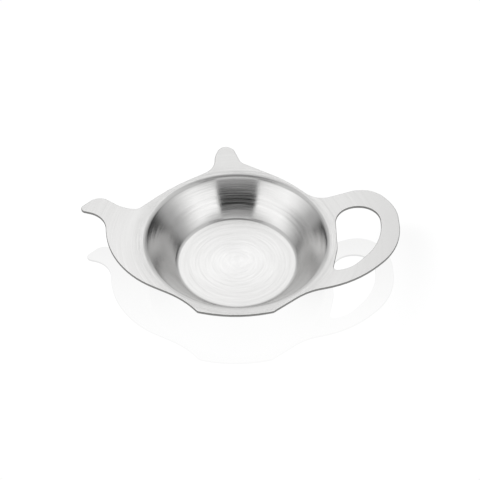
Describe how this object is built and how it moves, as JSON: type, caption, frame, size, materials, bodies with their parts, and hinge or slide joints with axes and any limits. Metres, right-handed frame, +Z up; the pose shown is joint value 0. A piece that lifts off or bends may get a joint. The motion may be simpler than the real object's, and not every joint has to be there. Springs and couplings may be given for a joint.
{
  "type": "tea bag rest",
  "caption": "Shallow round bowl drawn into a flat steel plate with a teapot outline and an open handle, for resting a wet tea bag beside a cup.",
  "frame": {"origin": "on the axis of the round bowl, on the flat underside of its floor, which is the face that the part stands on", "axes": "+Z up, out of the bowl's mouth; +X from the bowl towards the handle; +Y from the foot towards the lid knob"},
  "size_m": [0.1294, 0.0946, 0.015],
  "materials": {
    "steel": "fine satin with turned polishing rings in the bowl"
  },
  "bodies": {
    "root": {"dish": "steel"}
  },
  "joints": []
}
